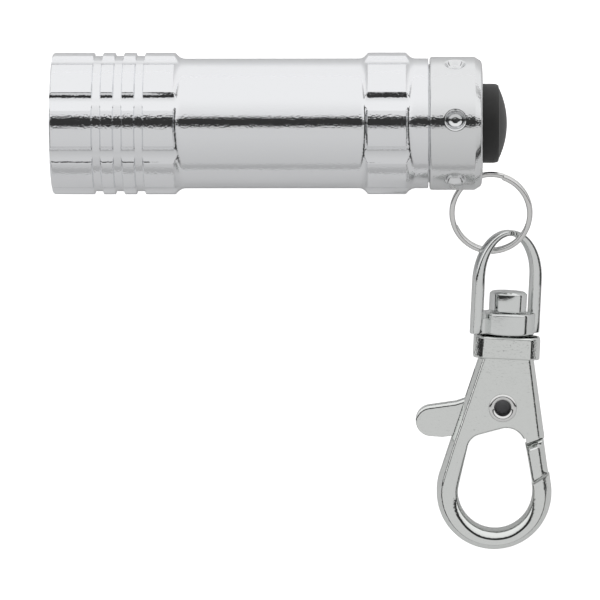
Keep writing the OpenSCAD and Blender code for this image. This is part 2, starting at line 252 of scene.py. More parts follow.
def within(loop, spot):
    """Whether an outline goes round a point, from how many edges lie to the right of it."""
    ahead = np.roll(loop, -1, 0)
    crosses = (loop[:, 1] > spot.y) != (ahead[:, 1] > spot.y)
    rise = np.where(crosses, ahead[:, 1] - loop[:, 1], 1)
    meets = loop[:, 0] + (spot.y - loop[:, 1]) * (ahead[:, 0] - loop[:, 0]) / rise
    return np.count_nonzero(crosses & (spot.x < meets)) % 2


def plate(name, loops, half, place, sharp=38):
    """loops are (outline, width, drop, form): the outline anticlockwise, its holes clockwise."""
    points, faces, rims = [], [], []
    for loop, width, drop, form in loops:
        width, drop = (np.broadcast_to(v, len(loop)) for v in (width, drop))
        rows = edge_rows(width, drop, half, form)
        rows = [(m, -z) for m, z in reversed(rows)] + rows
        n, start = len(loop), len(points)
        for m, z in rows:
            flat = moved_in(loop, np.broadcast_to(m, n))
            at_corner = (np.broadcast_to(z, n) + np.roll(np.broadcast_to(z, n), 1)) / 2
            points += [(x, y, h) for (x, y), h in zip(flat, at_corner)]
        faces += [(start + k * n + j, start + k * n + (j + 1) % n,
                   start + (k + 1) * n + (j + 1) % n, start + (k + 1) * n + j)
                  for k in range(len(rows) - 1) for j in range(n)]
        rims.append((start, start + (len(rows) - 1) * n, n))
    for side in (0, 1):
        ids = [r[side] + j for r in rims for j in range(r[2])]
        flat = [Vector(points[i][:2]) for i in ids]
        edges, rings, at = [], [], 0
        for _, _, n in rims:
            edges += [(at + j, at + (j + 1) % n) for j in range(n)]
            rings.append(np.array(flat[at:at + n]))
            at += n
        verts, _, tris, _, _, _ = geometry.delaunay_2d_cdt(flat, edges, [], 0, 1e-7)
        for tri in tris:
            middle = sum((verts[i] for i in tri), Vector((0, 0))) / 3
            inside = sum(within(ring, middle) for ring in rings) % 2
            if inside and max(tri) < len(ids):
                faces.append(tuple(ids[i] for i in (tri if side else reversed(tri))))
    return mesh_from(name, points, faces, place, sharp)


def arc(cx, cy, r, a0, a1, n):
    """Points round a circle between two angles in degrees."""
    t = np.radians(np.linspace(a0, a1, n + 1))
    return np.stack([cx + r * np.cos(t), cy + r * np.sin(t)], 1)


def closed(*parts, step=0.22):
    """Joins runs of points into one outline, with a point at least every step."""
    corners = np.concatenate([np.array(p, float).reshape(-1, 2) for p in parts])
    line = []
    for p, q in zip(corners, np.roll(corners, -1, 0)):
        gap = np.linalg.norm(q - p)
        if gap < 1e-4:
            continue
        n = max(1, round(gap / step))
        line += [p + (q - p) * k / n for k in range(n)]
    return np.array(line)


def prism(name, corners, low, high, place):
    """A plain straight-sided block over an outline, for cutting with."""
    n = len(corners)
    points = [(x, y, z) for z in (low, high) for x, y in corners]
    faces = [(j, (j + 1) % n, n + (j + 1) % n, n + j) for j in range(n)]
    return mesh_from(name, points, faces + [tuple(range(n)), tuple(range(2 * n - 1, n - 1, -1))],
                     place, 20)


# %% [markdown]
# ## One way to write a material
# Colours are typed as the sRGB hex a paint chart would give. One function turns them to the linear
# values the shader wants, and one small function adds a node with its settings and links.

# %% Material helpers
def srgb(code, alpha=1.0):
    """A hex colour as the linear values a shader wants."""
    part = [int(code[i:i + 2], 16) / 255 for i in (1, 3, 5)]
    return [v / 12.92 if v <= 0.04045 else ((v + 0.055) / 1.055) ** 2.4 for v in part] + [alpha]


def add(tree, kind, settings=None, **links):
    """Adds a node. A link is named as its input, _ for a space. Sockets link, values are set."""
    node = tree.nodes.new(kind)
    for key, value in (settings or {}).items():
        setattr(node, key, value)
    for key, value in links.items():
        spot = node.inputs[int(key[1:])] if key[0] == "i" and key[1:].isdigit() else \
            node.inputs[key.replace("_", " ")]
        if isinstance(value, bpy.types.NodeSocket):
            tree.links.new(value, spot)
        else:
            spot.default_value = value
    return node


def maths(tree):
    """A function that adds a Math node to the tree and gives back its output."""
    return lambda operation, *values: add(
        tree, "ShaderNodeMath", {"operation": operation},
        **{f"i{k}": value for k, value in enumerate(values)}).outputs[0]


def noise(tree, place, scale, detail, roughness=0.5):
    """A noise texture whose scale counts its features to the metre."""
    return add(tree, "ShaderNodeTexNoise", Vector=place, Scale=scale, Detail=detail,
               Roughness=roughness).outputs[0]


def ramp(tree, value, low, high, start, end, form="LINEAR"):
    """Runs from start to end while the value runs from low to high, and holds still outside."""
    return add(tree, "ShaderNodeMapRange", {"interpolation_type": form}, Value=value,
               From_Min=low, From_Max=high, To_Min=start, To_Max=end).outputs[0]


def bumped(tree, shader, *layers):
    """Lays bumps on a shader, one over the other: each a texture and its height in microns."""
    under = None
    for texture, microns in layers:
        bump = add(tree, "ShaderNodeBump", Strength=1.0, Distance=microns * MICRON, Height=texture)
        if under:
            tree.links.new(under, bump.inputs["Normal"])
        under = bump.outputs[0]
    tree.links.new(under, shader.inputs["Normal"])


def finish(name, base, metallic=0.0, roughness=0.5, **more):
    """A new material with one Principled shader. Returns the material, its tree and the shader."""
    material = bpy.data.materials.new(name)
    material.use_nodes = True
    tree = material.node_tree
    tree.nodes.clear()
    shader = add(tree, "ShaderNodeBsdfPrincipled", Base_Color=srgb(base), Metallic=metallic,
                 Roughness=roughness, **more)
    add(tree, "ShaderNodeOutputMaterial", Surface=shader.outputs[0])
    return material, tree, shader


# %% [markdown]
# ## Aluminium, turned and anodised
# The barrel is turned from bar, tumbled and anodised clear. That leaves a soft mirror: reflections
# keep their shape, but their edges break up into a fine grain. The real grain is too fine to show
# here, so it is drawn coarser, about 0.2 mm across. Very faint rings run round where the tool
# travelled.

# %% Barrel finish
GRAIN, RING_GRAIN = (4600, 4600, 4600), (9000, 40, 40)  # features to the metre, along X, Y and Z


def turned_aluminium(name, base, roughness, grain_um, rings_um):
    """Anodised aluminium, with a grain and tool rings of the given heights in microns."""
    material, tree, shader = finish(name, base, 1.0, roughness)
    place = add(tree, "ShaderNodeTexCoord").outputs["Object"]
    even = add(tree, "ShaderNodeMapping", Vector=place, Scale=GRAIN).outputs[0]
    ringed = add(tree, "ShaderNodeMapping", Vector=place, Scale=RING_GRAIN).outputs[0]
    bumped(tree, shader, (noise(tree, ringed, 1.0, 2.0), rings_um),
           (noise(tree, even, 1.0, 1.0), grain_um))
    rough = ramp(tree, noise(tree, place, 260.0, 4.0), 0.3, 0.7, roughness * 0.85, roughness * 1.2)
    tree.links.new(rough, shader.inputs["Roughness"])
    return material


barrel_finish = turned_aluminium("aluminium_turned_clear_anodised", "#EDEEF0", 0.05, 12.0, 0.6)
cap_finish = turned_aluminium("aluminium_blasted_clear_anodised", "#E5E6E7", 0.08, 12.0, 1.0)
black_finish = turned_aluminium("aluminium_black_anodised", "#3A3A3C", 0.3, 1.2, 0.5)


# %% [markdown]
# ## Nickel plate on zinc and on steel
# The snap is a zinc die casting, tumbled and nickel plated. Nickel is a little warmer and darker
# than aluminium. The faces keep the slight unevenness of the casting, and small pits and scuffs
# show under the plate. The ring and rivet are drawn steel, smoother and brighter.

# %% Nickel finishes
def nickel(name, base, roughness, swell_um, pits_um, pit_size):
    """Plated metal, with a slow swell and small pits: heights in microns, pit size in mm."""
    material, tree, shader = finish(name, base, 1.0, roughness)
    place = add(tree, "ShaderNodeTexCoord").outputs["Object"]
    pits = noise(tree, place, 1 / (pit_size * MM), 1.5, 0.65)
    bumped(tree, shader, (noise(tree, place, 420.0, 2.0), swell_um), (pits, pits_um))
    rough = ramp(tree, pits, 0.35, 0.7, roughness * 0.8, roughness * 1.25)
    tree.links.new(rough, shader.inputs["Roughness"])
    return material


cast_finish = nickel("nickel_plated_zinc_casting", "#E6E8E6", 0.07, 3.0, 9.0, 0.24)
loop_finish = nickel("nickel_plated_zinc_polished", "#E5E7E6", 0.08, 6.0, 4.0, 0.22)
ring_finish = nickel("nickel_plated_spring_steel", "#E0E0DF", 0.08, 2.0, 0.6, 0.12)
rivet_finish = nickel("nickel_plated_rivet_steel", "#E4E4E3", 0.12, 2.0, 0.6, 0.12)
spring_finish = nickel("drawn_spring_steel", "#C9C7C1", 0.24, 1.0, 0.8, 0.08)
can_finish = nickel("nickel_plated_cell_can", "#D9D9D8", 0.22, 2.0, 0.8, 0.1)
brass_finish = nickel("turned_brass", "#D8B45C", 0.24, 1.0, 0.8, 0.1)
# Painted shade: the rivet's bore is given a dull grey that stands in for the shade deep in its
# hollow.
bore_shade_finish = nickel("rivet_bore_painted_shade", "#A2A2A4", 0.5, 2.0, 2.0, 0.1)


# %% [markdown]
# ## Rubber, plastics and glass
# The push button is moulded silicone, matt and nearly black, with a fine spark-eroded texture and
# a slight bloom where thumbs rub it. The switch is moulded nylon. The lens is clear glass.

# %% Soft and moulded finishes
def moulded(name, base, worn, roughness, grain, height_um, sheen=0.0):
    """A moulded material of two close colours, with a grain in mm and its height in microns."""
    material, tree, shader = finish(name, base, 0.0, roughness, Sheen_Weight=sheen,
                                    Sheen_Roughness=0.6)
    place = add(tree, "ShaderNodeTexCoord").outputs["Object"]
    mix = add(tree, "ShaderNodeMix", {"data_type": "RGBA"}, Factor=noise(tree, place, 380.0, 3.0),
              i6=srgb(base), i7=srgb(worn))
    tree.links.new(mix.outputs[2], shader.inputs["Base Color"])
    bumped(tree, shader, (noise(tree, place, 1 / (grain * MM), 4.0, 0.7), height_um))
    return material


button_finish = moulded("silicone_rubber_moulded", "#0D0D0C", "#131312", 0.58, 0.13, 9.0, 0.15)
seal_finish = moulded("nitrile_rubber_moulded", "#161616", "#1E1E1E", 0.45, 0.2, 2.0)
nylon_finish = moulded("nylon_moulded", "#1A1A1C", "#222224", 0.4, 0.15, 3.0)
acetal_finish = moulded("acetal_moulded", "#D8D8D0", "#E2E2DA", 0.35, 0.2, 1.0)
sleeve_finish = moulded("pvc_shrink_sleeve", "#27357A", "#2F3F8C", 0.3, 0.4, 3.0)
board_finish = moulded("solder_mask_on_glass_epoxy", "#17492C", "#1D5635", 0.3, 0.3, 3.0)
phosphor_finish = moulded("led_phosphor_in_silicone", "#E8D24A", "#F0DE6E", 0.2, 0.3, 1.0)

reflector_finish, _, _ = finish("plastic_vacuum_metallised", "#F2F2F2", 1.0, 0.04)
glass_finish, _, _ = finish("glass_clear_flat", "#FFFFFF", 0.0, 0.02, Transmission_Weight=1.0,
                            IOR=1.5)


# %% [markdown]
# ## Shapes made by rule
# Geometry Nodes state the rule of a shape once, with its sizes as named inputs. Every tree here
# starts and ends the same way, and what it makes is kept as a plain mesh. Two of the rules move
# the skin of a round part in or out, so what those two share comes first as well.

# %% What every node tree starts and ends with
def rule_tree(name, sizes):
    """A tree that takes a mesh, a size for each name and a material, and its inputs."""
    tree = bpy.data.node_groups.new(name, "GeometryNodeTree")
    face = tree.interface
    face.new_socket("Geometry", in_out="INPUT", socket_type="NodeSocketGeometry")
    for label, value in sizes.items():
        kind = "NodeSocketInt" if isinstance(value, int) else "NodeSocketFloat"
        face.new_socket(label, in_out="INPUT", socket_type=kind).default_value = value
    face.new_socket("Material", in_out="INPUT", socket_type="NodeSocketMaterial")
    face.new_socket("Geometry", in_out="OUTPUT", socket_type="NodeSocketGeometry")
    return tree, add(tree, "NodeGroupInput").outputs


def closed_tree(tree, given, shape):
    """Ends a tree: the shape made real and given its material."""
    real = add(tree, "GeometryNodeRealizeInstances", Geometry=shape)
    dressed = add(tree, "GeometryNodeSetMaterial", Geometry=real.outputs[0],
                  Material=given["Material"])
    add(tree, "NodeGroupOutput", Geometry=dressed.outputs[0])
    return tree


def grown(thing, tree, values, sharp=32):
    """Runs a node tree on a piece, with its named inputs set, and keeps what it makes."""
    step = thing.modifiers.new("nodes", "NODES")
    step.node_group = tree
    for item in tree.interface.items_tree:
        if item.item_type == "SOCKET" and item.in_out == "INPUT" and item.name in values:
            step[item.identifier] = values[item.name]
    return kept(thing, sharp)


# %% Moving a round skin in or out
def polar(tree, do, repeats, first):
    """A point's place, its distance from X, and its angle from the nearest of some equal turns."""
    at = add(tree, "ShaderNodeSeparateXYZ",
             Vector=add(tree, "GeometryNodeInputPosition").outputs[0]).outputs
    radius = do("SQRT", do("ADD", do("MULTIPLY", at[1], at[1]), do("MULTIPLY", at[2], at[2])))
    turn = do("SUBTRACT", do("ARCTAN2", do("MULTIPLY", at[1], -1.0), at[2]), first)
    half = do("DIVIDE", math.pi, repeats)
    return at, radius, do("WRAP", turn, half, do("MULTIPLY", half, -1.0))


def at_radius(tree, do, given, at, old, new):
    """The mesh with each point moved straight in or out to a new radius."""
    share = do("DIVIDE", new, do("MAXIMUM", old, 1e-6))
    place = add(tree, "ShaderNodeCombineXYZ", X=at[0], Y=do("MULTIPLY", at[1], share),
                Z=do("MULTIPLY", at[2], share)).outputs[0]
    return add(tree, "GeometryNodeSetPosition", Geometry=given["Geometry"],
               Position=place).outputs[0]


# %% [markdown]
# ## The barrel: a fluted bar, made by rule
# The barrel is one lathe part with a rule on top: eight scallops are milled along it, so its
# radius is the smaller of the turned profile and the cutter's circle. A smooth minimum breaks the
# scallops' edges as tumbling does. The grip and the grooves are already as deep as the cutter
# reaches, so the rule leaves them alone and cuts only the lands.

# %% Node tree that mills flutes
def flute_tree():
    tree, given = rule_tree("milled_flutes", {
        "Flutes": 8.0, "Cutter radius": 0.0023, "Cutter centre": 0.0109, "First flute": 0.0,
        "Edge break": 0.00011})
    do = maths(tree)
    at, radius, turn = polar(tree, do, given["Flutes"], given["First flute"])
    across = do("MULTIPLY", given["Cutter centre"], do("SINE", turn))
    ahead = do("MULTIPLY", given["Cutter centre"], do("COSINE", turn))
    chord = do("SQRT", do("MAXIMUM", do(
        "SUBTRACT", do("MULTIPLY", given["Cutter radius"], given["Cutter radius"]),
        do("MULTIPLY", across, across)), 0.0))
    milled = do("SMOOTH_MIN", radius, do("SUBTRACT", ahead, chord), given["Edge break"])
    return closed_tree(tree, given, at_radius(tree, do, given, at, radius, milled))


# %% Turn the barrel and mill it
def run_out(r0, s0, r1, s1, n=8):
    """A hollow curve from a land to the grip, as the tool leaves it."""
    return [(r1 + (r0 - r1) * (1 - i / n) ** 2, s0 + (s1 - s0) * i / n) for i in range(n + 1)]


bar = [(7.85, 0, 0.06), (8.78, 0, 0.05), (9, 0.22, 0.12)]
for g in range(3):
    s = 5.27 + 2.67 * g
    bar += [(9, s, 0.07), (8.61, s + 0.13, 0.05), (8.61, s + 1.08, 0.05), (9, s + 1.21, 0.07)]
bar += run_out(9, 15.56, 8.25, 16.8) + [(8.25, 28)] + run_out(9, 40, 8.25, 38.9)[::-1]
bar += run_out(9, 44.8, 8.25, 46)
bar += [(8.25, 47.65, 0.16), (7.5, 47.65, 0.04), (7.5, 48.2, 0.05), (6.78, 48.2), (6.78, 49),
        (6.95, 49, 0.05), (6.95, 50.6, 0.25), (6.25, 50.6, 0.06), (6.25, 13.5), (7.7, 13.5),
        (7.7, 0.15)]
barrel = show("barrel_shell", lathe("barrel_shell", bar, TORCH, 720))
grown(barrel, flute_tree(), {"First flute": math.radians(-16.4), "Material": barrel_finish})
piece(barrel, "barrel", ["barrel"], "barrel_aluminium")


# %% [markdown]
# ## Coils: the springs and the thread
# A spring and a screw thread are the same idea, a bar that follows a helix. One node tree draws
# the spiral and sweeps a round bar along it. Its inputs are the ones a spring maker asks for:
# turns, radii, length and wire. The springs' ends are ground flat on the real ones and left as cut
# here.

# %% Node tree for a coil
def coil_tree():
    tree, given = rule_tree("coil", {"Turns": 3.0, "First radius": 0.002, "Last radius": 0.002,
                                     "Length": 0.003, "Wire radius": 0.0002, "Sides": 12})
    path = add(tree, "GeometryNodeCurveSpiral", Resolution=48, Rotations=given["Turns"],
               Start_Radius=given["First radius"], End_Radius=given["Last radius"],
               Height=given["Length"]).outputs[0]
    wire = add(tree, "GeometryNodeCurvePrimitiveCircle", {"mode": "RADIUS"},
               Resolution=given["Sides"], Radius=given["Wire radius"]).outputs[0]
    swept = add(tree, "GeometryNodeCurveToMesh", Curve=path, Profile_Curve=wire, Fill_Caps=True)
    return closed_tree(tree, given, swept.outputs[0])


coils = coil_tree()


def coil(name, place, low, high, turns, r0, r1, wire, material, sides=12):
    """A coil between two heights along a place's Z, in its finish."""
    thing = show(name, bpy.data.meshes.new(name))
    grown(thing, coils, {"Turns": turns, "First radius": r0 * MM, "Last radius": r1 * MM,
                         "Length": (high - low - 2 * wire) * MM, "Wire radius": wire * MM,
                         "Sides": sides, "Material": material}, 50)
    metres = Matrix.Scale(MM, 4) @ place @ Matrix.Translation((0, 0, low + wire))
    thing.data.transform(metres @ Matrix.Scale(1 / MM, 4))
    return thing


# %% Wind the springs
for name, body, slot, *sizes in (
        ("front_spring", "barrel", "spring_steel", TORCH, 13.9, 20.85, 4, 3.6, 2.2, 0.25),
        ("tail_contact_spring", "tail_cap", "spring_steel", TORCH, 42.55, 45.32, 2.5, 2.2, 2.2,
         0.25),
        ("switch_spring", "tail_cap", "spring_steel", TORCH, 46.43, 49.27, 3, 2.4, 2.4, 0.2),
        ("gate_spring", "gate_lever", "spring_steel", RIVET, -0.13, 0.83, 2, 1.8, 1.8, 0.16)):
    piece(coil(name + "_wire", *sizes, spring_finish), body, [name], slot)

# %% [markdown]
# ### The neck's thread
# The thread is drawn as a low round ridge, so that the cap shows what holds it when it is
# unscrewed. Its pitch is 0.70 mm, a little finer than the 0.75 mm that the cap moves in a turn. It
# follows the CAD neck, which is the thread's plain core.

# %% Cut the thread
thread = coil("neck_thread", TORCH, 49.0, 50.42, 1.45, 6.93, 6.93, 0.2, barrel_finish, 8)
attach(thread, "barrel")

# %% [markdown]
# ## The tail cap: dimples by the same idea
# Six blind dimples round the cap are grip marks. They repeat by rule, so a second tree sinks them:
# it measures how far each point of the skin is from the nearest dimple's axis, and lowers it down
# a short cone to a flat floor with the drill's point in it. The skin is fine enough there, 0.07
# mm, for the lip to read as a clean circle.

# %% Node tree that sinks dimples
def dimple_tree():
    tree, given = rule_tree("dimples", {
        "Dimples": 6.0, "First dimple": 0.0, "Station": 0.0232, "Mouth radius": 0.00127,
        "Lip radius": 0.00142, "Lip depth": 0.000035, "Floor radius": 0.00084, "Depth": 0.0006,
        "Point radius": 0.0004, "Point depth": 0.00012, "Skin radius": 0.008})
    do = maths(tree)
    at, radius, turn = polar(tree, do, given["Dimples"], given["First dimple"])
    across = do("MULTIPLY", radius, do("SINE", turn))
    along = do("SUBTRACT", at[0], given["Station"])
    away = do("SQRT", do("ADD", do("MULTIPLY", across, across), do("MULTIPLY", along, along)))
    depth = 0.0
    for inner, outer, deep, form in (("Floor radius", "Mouth radius", "Depth", "LINEAR"),
                                     ("Point radius", "Floor radius", "Point depth", "SMOOTHSTEP"),
                                     ("Mouth radius", "Lip radius", "Lip depth", "SMOOTHSTEP")):
        depth = do("ADD", depth, ramp(tree, away, given[inner], given[outer], given[deep], 0.0,
                                      form))
    depth = do("MULTIPLY", depth, do("GREATER_THAN", radius, given["Skin radius"]))
    return closed_tree(tree, given, at_radius(tree, do, given, at, radius,
                                              do("SUBTRACT", radius, depth)))


# %% Turn the cap, sink the dimples, drill it for the ring
cap = [(7.55, 47.8, 0.05), (8.45, 47.8, 0.36)]
cap += [(8.45, s) for s in np.arange(49.5, 52.55, 0.075)]      # a fine skin for the dimples
cap += [(8.45, 53.5, 0.07), (7.95, 54.3, 0.12), (7.6, 54.44), (7.15, 54.5, 0.1), (5.1, 54.5, 0.08),
        (5.1, 53.3), (5.95, 53.3), (5.95, 51.8), (7.3, 51.8), (7.3, 49.1), (7.55, 49.1)]
tail_cap = show("tail_cap_shell", lathe("tail_cap_shell", cap, TORCH, 800, 4))
grown(tail_cap, dimple_tree(), {"First dimple": math.radians(-0.8), "Material": cap_finish})
# The drilling lies along the ring's wire, at the place where the wire passes through the cap.
lie = RING @ Matrix.Rotation(math.radians(139.4), 4, "Z") @ Matrix.Translation((4.81, 0, 0)) \
    @ Matrix.Rotation(math.radians(90), 4, "X")
cut(tail_cap, lathe("drill", [(0, -4.5), (0.8, -4.5), (0.8, 4.5), (0, 4.5)], lie, 40))
piece(tail_cap, "tail_cap", ["tail_cap"], "cap_aluminium", cap_finish)

# %% [markdown]
# ## The push button
# The rubber button is one moulding: a flange that hides in the cap, a plain skirt, and a low crown
# whose edge is rounded by the mould.

# %% Turn the button
CROWN, TOP = 10.4, 54.5 + 3.13
crown = [(r, TOP - CROWN + math.sqrt(CROWN ** 2 - r * r)) for r in np.linspace(4.55, 0, 16)]
skirt = [(4, 52.8), (5.75, 52.8, 0.1), (5.75, 53.25, 0.1), (5.03, 53.25), (5.03, 55.85),
         (5.01, 56.1), (4.95, 56.33), (4.82, 56.55)]
button = show("button_cover", lathe("button_cover", skirt + crown + [(0, 55.9), (4, 55.9)],
                                    TORCH, 128))
piece(button, "button", ["button"], "button_rubber", button_finish)

# %% [markdown]
# ## The lamp end
# From the front the lamp shows its lens behind a dark ring, a bright cup and the LED at its
# bottom. The cup is a true parabola, with many more steps than the CAD model needs, because a
# mirror shows every facet.

# %% Ring, lens and reflector
ring_in = lathe("lens_retainer_ring", [(6.6, 0.9, 0.08), (6.9, 0.5, 0.1), (7.68, 0.5, 0.05),
                                       (7.68, 1.5), (6.6, 1.5)], TORCH, 128)
piece(show("lens_retainer_ring", ring_in), "barrel", ["lens_retainer"], "black_aluminium",
      black_finish)
disc = lathe("lens_disc", [(0, 1.5), (7.6, 1.5, 0.1), (7.6, 2.7, 0.1), (0, 2.7)], TORCH, 128)
piece(show("lens_disc", disc), "barrel", ["lens"], "lens_glass", glass_finish)
cup = [(r, 11.4 - 7.8 * (r * r - 4) / (6.7 ** 2 - 4)) for r in np.linspace(6.7, 2, 48)]
cup += [(2.7, 11.4), (2.7, 12.3), (5, 12.3), (5, 11.4), (3.9, 11.4), (7.1, 4.8), (7.6, 4.8),
        (7.6, 3.6)]
piece(show("reflector_cup", lathe("reflector_cup", cup, TORCH, 160)), "barrel", ["reflector"],
      "reflector_bright", reflector_finish)


# %% [markdown]
# ## The split ring
# A split ring is one wire, wound one and two-thirds times round here and flattened until its turns
# almost touch. Where one turn ends, the other climbs over to take its place, which is the little
# jog that keys slide in by. The wire is swept along that path with rounded corners.

# %% Wind the split ring
RING_RADIUS, WIRE_WIDE, WIRE_HIGH = 4.95, 0.70, 0.62
LAYER = 0.33                        # each turn's height above or below the ring's plane
FIRST, CROSS, CROSSED, LAST = 218.5, 231, 360, 591      # the wire's start, then angles from it


def layer(a):
    """Height of the wire above the ring's plane: low turn, crossing, high turn."""
    if a < CROSS:
        return -LAYER
    if a > CROSSED:
        return LAYER
    return LAYER * math.sin(math.radians(180 * (a - CROSS) / (CROSSED - CROSS) - 90))


def rounded(t, power):
    """A point on a circle of radius 1, pushed out towards its square by a power below 1."""
    return [math.copysign(abs(v) ** power, v) for v in (math.cos(t), math.sin(t))]


section = [(x * WIRE_WIDE / 2, y * WIRE_HIGH / 2) for x, y in
           (rounded(t, 0.9) for t in np.linspace(0, 2 * math.pi, 20, endpoint=False))]
wound = []
for a in np.linspace(0, LAST, 330):
    t, shrink = math.radians(FIRST + a), 1 if 1 < a < LAST - 1 else 0.82
    wound.append([((RING_RADIUS + x * shrink) * math.cos(t),
                   (RING_RADIUS + x * shrink) * math.sin(t), layer(a) + y * shrink)
                  for x, y in section])
piece(show("split_ring_wire", sweep("split_ring_wire", wound, RING)), "split_ring", ["split_ring"],
      "ring_steel", ring_finish)

# %% [markdown]
# ## The bail and its swivel
# The bail is cast with a bar that is wide at the legs and thins over the arch, where the ring
# wears on it. A web and a round boss join the legs. The boss turns on the stud, whose head holds
# it on.

# %% Cast the bail
LEG, HALF_BAR, BAR_THICK = 4.55, 0.725, 1.25    # the legs' distance out, then the bar's section
ASIDE = 0.3                                     # the loop's middle from the swivel's axis


def bar_ring(outer, inner, thick):
    """The bar's section between a point on its outside and one on its inside."""
    outer, inner = np.array(outer), np.array(inner)
    centre, half = (outer + inner) / 2, (outer - inner) / 2
    ring = []
    for t in np.linspace(0, 2 * math.pi, 24, endpoint=False):
        across, up = rounded(t, 0.4)
        along = centre + half * across
        ring.append((along[0] - ASIDE, along[1], up * thick / 2))
    return ring


def leg(side):
    """One leg from its foot up: each foot has a height and the share of the bar that is there."""
    feet = [(0.15, 0.8), (0.2, 0.93), (0.35, 1.0)] + [(v, 1) for v in range(1, 7)]
    return [bar_ring((side * (LEG + HALF_BAR * s), v), (side * (LEG - HALF_BAR * s), v),
                     BAR_THICK * s) for v, s in feet]


bend = [bar_ring((-(LEG + HALF_BAR) * math.cos(a), 6.9 + 6.5 * math.sin(a)),
                 (-(LEG - HALF_BAR) * math.cos(a), 7.5 + 5.15 * math.sin(a)), BAR_THICK)
        for a in np.linspace(0, math.pi, 61)]
bail_bar = sweep("bail_bar", leg(-1) + bend + leg(1)[::-1], BAIL)
web = plate("web", [(closed((-4.4, 0.2), (3.8, 0.2), (3.8, 2.15), (-4.4, 2.15), step=1),
                     0.1, 0.1, "roll")], 0.6, BAIL)
boss = lathe("boss", [(1.32, 0.12, 0.1), (3.55, 0.12, 0.25), (3.55, 2.85, 0.3), (1.32, 2.85, 0.1)],
             SWIVEL, 96, 4)
piece(show("bail_loop", join("bail_loop", bail_bar, web, boss)), "swivel_bail", ["swivel_bail"],
      "snap_nickel", loop_finish)

# %% Turn the stud
stud = lathe("stud", [(0, -1.4), (1.25, -1.4), (1.25, 2.95), (2.4, 2.95, 0.22), (2.4, 5.25, 0.12),
                      (2.05, 5.55, 0.12), (0, 5.55)], SWIVEL, 96, 4)
piece(show("swivel_stud_head", stud), "hook", ["swivel_stud"], "snap_nickel", loop_finish)

# %% [markdown]
# ## The hook
# The hook is one casting: a collar, two cheeks with a slot between them for the lever, and the
# round end. Its outer edge is a steep chamfer, about 0.5 mm wide on the left and up to 0.8 mm on
# the right. Its eye is rolled over, gently at the top and broadly at the bottom, where a strap
# would bear on it.

# %% Cast the hook
outline = closed(arc(-0.6, -20.2, 7.35, 163, 372, 96), (3.42, -1.9), (-3.04, -1.9))
# Each edge's width follows how far down the hook it lies, and which side of it.
middle = (outline + np.roll(outline, -1, 0)) / 2
right = (middle[:, 0] > 0) & (middle[:, 1] > -24)
width = np.where(right, np.interp(-middle[:, 1], (3, 12, 19, 24), (0.45, 0.62, 0.8, 0.5)),
                 np.interp(-middle[:, 1], (3, 14, 20, 24, 27), (0.48, 0.45, 0.58, 0.5, 0.42)))
width = np.where(middle[:, 1] > -2.0, 0.3, width)
drop = np.interp(-middle[:, 1], (21, 27), (0.95, 0.7))
eye = closed(arc(-0.45, -20.3, 4.78, 170, 372.5, 80), arc(0.67, -14.2, 2.37, 12.5, 107.8, 30),
             arc(-2.25, -14.8, 2.05, 107.8, 170, 20))[::-1]
at = (eye + np.roll(eye, -1, 0)) / 2
low = np.degrees(np.arctan2(-(at[:, 1] + 20.3), at[:, 0] + 0.45))
left = at[:, 0] < 0
below = np.interp(abs(low - 88), (20, 52, 80), (1.2, 0.95, 0.5))
roll = np.where(left, np.interp(-at[:, 1], (13, 15, 18, 23), (0.3, 0.4, 0.75, 0.95)),
                np.interp(-at[:, 1], (12, 15, 20.3), (0.28, 0.38, 0.5)))
roll = np.where(at[:, 1] < -20.3, np.maximum(roll, below), roll)
hook_plate = plate("hook_plate", [(outline, width, drop, "chamfer"),
                                  (eye, roll, roll * 0.8 + 0.15, "roll")], 2.2, SNAP)

# %% [markdown]
# ### Collar, slot and gate opening
# The collar is a chamfered block across the top. The slot and the gate's opening are cut out, as
# the die's slides leave them, so their corners stay crisp. The opening's lower face slants, and
# the gate closes on it.

# %% Weld the collar on and cut the openings
flat = Matrix.Translation((0.1, -1.575, 0)) @ Matrix.Rotation(math.radians(90), 4, "X")
block = closed((-2.95, -2.7), (2.95, -2.7), (3.05, -2.66), (4.1, -1.65),
               (4.25, -1.4), (4.25, 1.4), (4.1, 1.65), (3.05, 2.66), (2.95, 2.7), (-2.95, 2.7),
               (-3.05, 2.66), (-4.1, 1.65), (-4.25, 1.4), (-4.25, -1.4), (-4.1, -1.65),
               (-3.05, -2.66), step=9)
collar = plate("collar", [(block, 0.3, 0.3, "roll")], 1.425, SNAP @ flat)
hook = show("hook_casting", hook_plate)
cut(hook, collar, "UNION", 24)
cut(hook, prism("slot", [(-9, -13.5), (-2.5, -13.5), (0, -16), (9, -16), (9, -4.6), (-9, -4.6)],
                -1, 1, SNAP), sharp=24)
cut(hook, prism("gate_opening", [(1.5, -20.96), (8.6, -15.97), (8.6, -12.9), (4.9, -12.9),
                                 (4.5, -12.78), (3.9, -13.0), (3.3, -13.05), (1.5, -13.12)],
                -3, 3, SNAP), sharp=24)
cut(hook, lathe("rivet_bore", [(0, -5), (1.46, -5), (1.46, 5), (0, 5)], RIVET, 64), sharp=24)
piece(hook, "hook", ["hook_body"], "snap_nickel", cast_finish)

# %% [markdown]
# ## The gate and its rivet
# The lever turns on a hollow rivet. Its thumb tab is a flat tongue, rolled over broadly along its
# upper edge. Its far end is a block as thick as the hook, so that the closed gate looks like part
# of the hook's arm.

